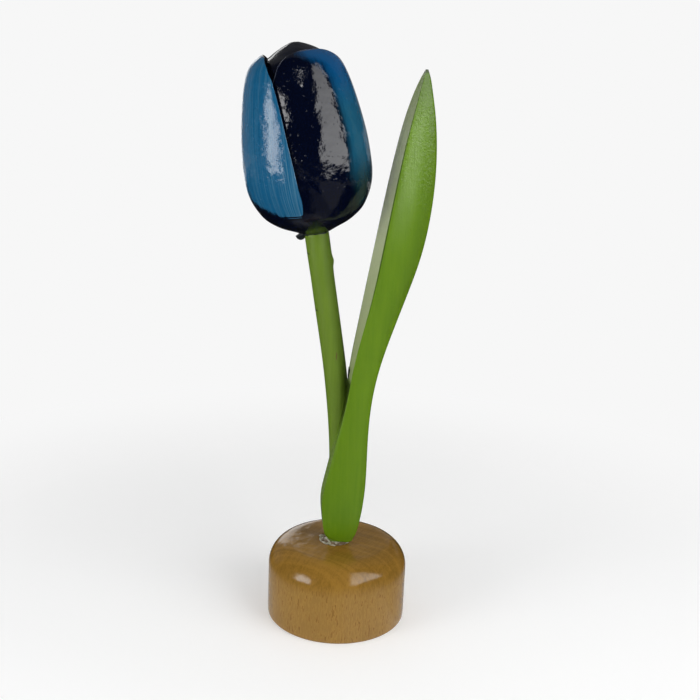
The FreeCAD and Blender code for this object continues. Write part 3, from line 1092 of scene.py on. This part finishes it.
class TULIP_OT_leaf(TulipOperator, bpy.types.Operator):
    """Carves the leaf: a flat inner side and a rounded outer side"""

    bl_idname = "tulip.leaf"
    bl_label = "Leaf"

    def execute(self, context):
        """A section's outer side swings from its front corner to its back corner. It stands out
        by one less a power of the swing, and that to a power of its own. The inner side is flat."""
        settings = context.scene.tulip_leaf
        row_count = 220
        outer_columns = 60
        inner_columns = 24
        share = (1 - np.cos(np.linspace(0, math.pi, row_count))) / 2
        table = smoothed(LEAF_SHARES, share)
        left, right, front, back, lead = (table[:, i : i + 1] for i in range(5))
        left, right, lead = (settings.reach * part for part in (left, right, lead))
        front, back = (STEM_FRONT + settings.depth * part for part in (front, back))
        angle = np.linspace(-math.pi / 2, math.pi / 2, outer_columns)[None, :]
        blade = ease(share, 0.18, 0.50)[:, None]
        fullness = 2 / settings.roundness
        squareness = fullness + (settings.blade_square - fullness) * blade
        bluntness = fullness + (settings.blade_blunt - fullness) * blade
        swing = np.sin(angle)
        out = np.clip(1 - np.abs(swing) ** squareness, 0, 1) ** (1 / bluntness)
        middle = (front + back) / 2
        half = (back - front) / 2
        side = left - lead * (swing + 1) / 2
        inner = np.linspace(1, -1, inner_columns + 2)[None, 1:-1]
        inner_x = left - lead * (inner + 1) / 2
        x = np.concatenate([side + (right - side) * out, inner_x], axis=1)
        y = np.concatenate([middle + half * swing, middle + half * inner], axis=1)
        height = np.broadcast_to(share[:, None], x.shape)
        rows = np.stack([x, y, LEAF_BASE + LEAF_HEIGHT * height], axis=-1)
        outer_shape = (row_count, outer_columns)
        on_inner = np.concatenate([np.zeros(outer_shape), np.ones_like(inner_x)], axis=1)
        from_front = np.broadcast_to((angle + math.pi / 2) / math.pi, outer_shape)
        from_front = np.concatenate([from_front, np.ones_like(inner_x)], axis=1)
        marks = np.stack([on_inner, height, from_front], axis=-1)
        build("carved_leaf", "leaf", rows, leaf_green(settings), middles(rows), marks)
        return {"FINISHED"}


class TULIP_OT_glue(TulipOperator, bpy.types.Operator):
    """Runs the hardened glue into the socket, under the bloom and behind the leaf"""

    bl_idname = "tulip.glue"
    bl_label = "Glue"

    def execute(self, context):
        settings = context.scene.tulip_glue
        self.socket(settings)
        self.collar(context.scene, settings)
        self.bead(settings)
        return {"FINISHED"}

    def socket(self, settings):
        """A ring between the stem and the socket's wall. Its top is a fillet at the stem, a hollow
        on the left and a ragged ridge that stands over the socket's rim. Two more rows at each
        wall go down to the socket's floor."""
        turn = full_turn(256)[None, :]
        share = np.concatenate([[0, 0], np.linspace(0, 1, 36), [1, 1]])[:, None]
        rise = np.ones_like(share)
        rise[[0, -1]] = 0
        rise[[1, -2]] = 0.3
        inner_radius = STEM_RADIUS + CLEARANCE
        inner = np.stack([inner_radius * np.cos(turn), STEM_SETBACK + inner_radius * np.sin(turn)], axis=-1)
        rim = SOCKET_RADIUS + settings.rim_spread * (ripple(turn * 1.9, 0.0, 11) * 0.5 + 0.6)
        outer_radius = np.where((share > 0.9) & (share < 1), rim, SOCKET_RADIUS)
        outer = np.stack([outer_radius * np.cos(turn), outer_radius * np.sin(turn)], axis=-1)
        outer = outer + np.array(SOCKET_CENTRE)
        level = inner * (1 - share[..., None]) + outer * share[..., None]
        left = math.radians(205)
        left_width = 0.62
        ragged = ripple(turn * 2.3, share * 1.5, 12)
        ridge = bell(share, 0.93, 0.07) * (0.55 + 0.35 * ragged)
        fillet = bell(share, 0, 0.16) * (0.9 + 0.3 * ripple(turn * 1.1, share, 13))
        basin = bell(share, 0.5, 0.30) * (0.75 * bell(turn, left, left_width) - 0.35)
        lumps = 0.12 * ripple(turn * 3.1, share * 3.0, 14) - 0.2
        pit = bell(turn, math.radians(208), 0.16) * bell(share, 0.55, 0.13)
        height = 0.48 * ridge + 0.55 * fillet + basin + lumps - 0.9 * pit
        top = FOOT_HEIGHT + height * MILLIMETRE
        top = np.where(share == 1, np.minimum(top, FOOT_HEIGHT), top)
        top = (SOCKET_FLOOR + CLEARANCE) * (1 - rise) + top * rise
        rows = np.concatenate([level, top[..., None]], axis=-1)
        round_basin = np.hypot((turn - left) / left_width, (share - 0.5) / 0.42)
        outline = bell(round_basin, 1, 0.22)
        # Pale dried glue on the ridge, fillet and basin ring, with painted highlight where their edges
        # catch the light; painted shade darkens the pit
        pale = 0.9 * ridge + 0.42 * fillet + 0.25 + 0.2 * ragged + 0.5 * outline - 0.45 * pit
        glue = hardened_glue("clear_glue", settings.hollow, settings.pale, 0.22)
        build("socket_fill", "socket_glue", rows, glue, marks=first_mark(pale))

    def collar(self, scene, settings):
        """An uneven ring round the stem under the bloom, with one lump on its left."""
        around = full_turn(128)[None, :]
        section = full_turn(28)[:, None]
        azimuth = np.degrees(around)
        from_lump = (azimuth - 268 + 180) % 360 - 180
        lump = bell(from_lump, 0, 24)
        uneven = 1 + 0.22 * ripple(around * 1.3, section / math.tau, 21)
        width = settings.collar_width * (0.30 + 1.7 * lump) * uneven
        depth = settings.collar_width * (0.35 + 1.0 * lump) * uneven
        radius = STEM_RADIUS + width * (0.42 + 0.58 * np.cos(section))
        height = -0.05 * depth + depth * np.sin(section)
        rows = in_bloom(scene, polar(radius, azimuth, height))
        glue = hardened_glue("dark_collar", settings.dark, settings.dark, 0.3)
        build("bloom_collar", "bloom_glue", rows, glue, marks=np.zeros_like(rows))

    def bead(self, settings):
        """A lumpy drop in the notch: an ellipsoid whose radius a few waves make uneven."""
        down = np.linspace(0, math.pi, 42)[1:-1][:, None]
        turn = full_turn(48)[None, :]
        swell = 1 + 0.16 * ripple(turn / math.tau * 3, down, 31)
        centre = np.array(settings.bead_place)
        size = np.array(settings.bead_size)
        level = np.broadcast_to(np.cos(down), swell.shape)
        unit = np.stack([np.sin(down) * np.cos(turn), np.sin(down) * np.sin(turn), level], axis=-1)
        rows = centre + size * unit * swell[..., None]
        ends = centre + size * np.array([(0, 0, 1.02), (0, 0, -1.02)])
        glue = hardened_glue("dark_bead", settings.dark, settings.green_tint, 0.25)
        marks = first_mark(0.75 * np.abs(level) ** 3)
        build("leaf_bead", "leaf_glue", rows, glue, ends, marks)


class TULIP_OT_stage(TulipOperator, bpy.types.Operator):
    """Places the camera, the soft lamps, the floor with its backdrop and the cards"""

    bl_idname = "tulip.stage"
    bl_label = "Stage"

    def execute(self, context):
        scene = context.scene
        settings = scene.tulip_stage
        camera = bpy.data.objects.new("camera", bpy.data.cameras.new("camera"))
        camera.data.sensor_width = 36
        camera.data.lens = settings.lens
        camera.data.clip_start = 0.01
        camera.data.clip_end = 20
        pitch = Matrix.Rotation(math.pi / 2 - settings.camera_pitch, 4, "X")
        roll = Matrix.Rotation(settings.camera_roll, 4, "Z")
        camera.matrix_world = Matrix.Translation(settings.camera_place) @ pitch @ roll
        scene.collection.objects.link(camera)
        scene.camera = camera
        scene.view_settings.view_transform = "Standard"
        self.room(scene, settings)
        for name, radiance, corners in SOFT_LAMPS:
            self.lamp(name, radiance, corners)
        self.floor(settings)
        self.cards()
        return {"FINISHED"}

    def room(self, scene, settings):
        """A grey room that the camera sees as bright as the backdrop."""
        world = bpy.data.worlds.new("room")
        world.use_nodes = True
        tree = world.node_tree
        rays = tree.nodes.new("ShaderNodeLightPath")
        share = tree.nodes.new("ShaderNodeMapRange")
        share.inputs["To Min"].default_value = settings.room
        share.inputs["To Max"].default_value = settings.backdrop
        tree.links.new(rays.outputs["Is Camera Ray"], share.inputs["Value"])
        tree.links.new(share.outputs[0], tree.nodes["Background"].inputs["Strength"])
        tree.nodes["Background"].inputs["Color"].default_value = (1.0, 1.0, 1.0, 1.0)
        scene.world = world

    def lamp(self, name, radiance, corners):
        """A luminous quad whose corners are given by azimuth and elevation as seen from the bloom."""
        azimuth, elevation = np.array(corners).T
        level = np.cos(np.radians(elevation))
        away = polar(level, azimuth, np.sin(np.radians(elevation)))
        points = np.array(LAMP_AIM) + LAMP_DISTANCE * away
        lamp = new_object(name, points, [(0, 1, 2, 3)], lamp_light(name, radiance))
        lamp.visible_camera = False
        lamp.visible_shadow = False

    def sheet(self, name, profile, first, last, columns, material):
        """A stage piece: a profile carried round the vertical axis between two azimuths."""
        rows = turned(profile, np.radians(np.linspace(first, last, columns) - 90))
        faces = grid_faces(len(profile), columns, False, False)
        piece = new_object(name, rows.reshape(-1, 3), faces.tolist(), material)
        return piece

    def floor(self, settings):
        """A round floor that sweeps up into a wall all round."""
        sweep = 0.25
        reach = 1.1
        wall_top = 0.42
        profile = np.vstack(
            [
                line_points((0, 0), (reach, 0), 12),
                arc_points((reach, sweep), sweep, -90, 0, 16),
                [(reach + sweep, wall_top)],
            ]
        )
        self.sheet("floor", profile, 0, 360, 97, floor_card(settings))

    def cards(self):
        """Cards that only the gloss sees.

        They are a dark hood in front and overhead, walls behind it with one bright stretch at the
        back left, a floor that is dark but for a grey stretch at the front right, and a narrow
        card that lights the bloom's edge. A shade also keeps the small lamp off the foot.
        """
        far = 0.85
        wall = 0.45
        wall_rows = 6
        lift = 0.0006
        columns = 49
        upright = line_points((far, lift), (far, wall), wall_rows)
        hood = np.vstack([upright, arc_points((0, wall), far, 0, 90, 16)])
        walls = hood[: wall_rows + 1]
        overhead = hood[wall_rows:]
        skirt = line_points((FOOT_RADIUS + lift, lift), (far + 0.01, lift), 12)
        shade = np.array([(0.24, 0.250), (0.24, 0.337)])
        edge = np.array([(0.82, 0.14), (0.82, 0.24)])
        cards = (
            ("hood", hood, -115, 115, 0.025),
            ("side_wall", walls, 115, 162, 0.03),
            ("back_wall", walls, 162, 184, 0.25),
            ("bright_wall", walls, 184, 208, 1.6),
            ("left_wall", walls, 208, 245, 0.20),
            ("back_hood", overhead, 115, 245, 0.12),
            ("dark_skirt", skirt, -125, 9, 0.015),
            ("grey_skirt", skirt, 9, 70, 0.24),
            ("right_skirt", skirt, 70, 235, 0.012),
            ("edge_card", edge, 140, 158, 0.32),
            ("lamp_shade", shade, -30, 14, 0.025),
        )
        for name, profile, first, last, radiance in cards:
            glow = CARD_GLOW if profile is skirt else 0.0
            card = self.sheet(name, profile, first, last, columns, card_light(name, radiance, glow))
            card.visible_camera = False
            card.visible_diffuse = False
            card.visible_transmission = False
            card.visible_shadow = profile is shade


OPERATORS = (
    TULIP_OT_stage,
    TULIP_OT_foot,
    TULIP_OT_stem,
    TULIP_OT_bloom,
    TULIP_OT_leaf,
    TULIP_OT_glue,
)


class TULIP_PT_panel(bpy.types.Panel):
    """Lists the steps that build the tulip"""

    bl_idname = "TULIP_PT_panel"
    bl_label = "Wooden tulip"
    bl_space_type = "VIEW_3D"
    bl_region_type = "UI"
    bl_category = "Tulip"

    def draw(self, context):
        for operator in OPERATORS:
            self.layout.operator(operator.bl_idname)
        for name, group in SETTINGS.items():
            box = self.layout.box()
            for key in group.__annotations__:
                box.prop(getattr(context.scene, name), key)


CLASSES = (*SETTINGS.values(), *OPERATORS, TULIP_PT_panel)


def register():
    """Registers the classes and gives the scene its settings."""
    for cls in CLASSES:
        bpy.utils.register_class(cls)
    for name, group in SETTINGS.items():
        setattr(bpy.types.Scene, name, bpy.props.PointerProperty(type=group))


def unregister():
    """Takes back what register did."""
    for name in SETTINGS:
        delattr(bpy.types.Scene, name)
    for cls in reversed(CLASSES):
        bpy.utils.unregister_class(cls)


def main():
    register()
    for operator in OPERATORS:
        group, name = operator.bl_idname.split(".")
        getattr(getattr(bpy.ops, group), name)()


if __name__ == "__main__":
    main()
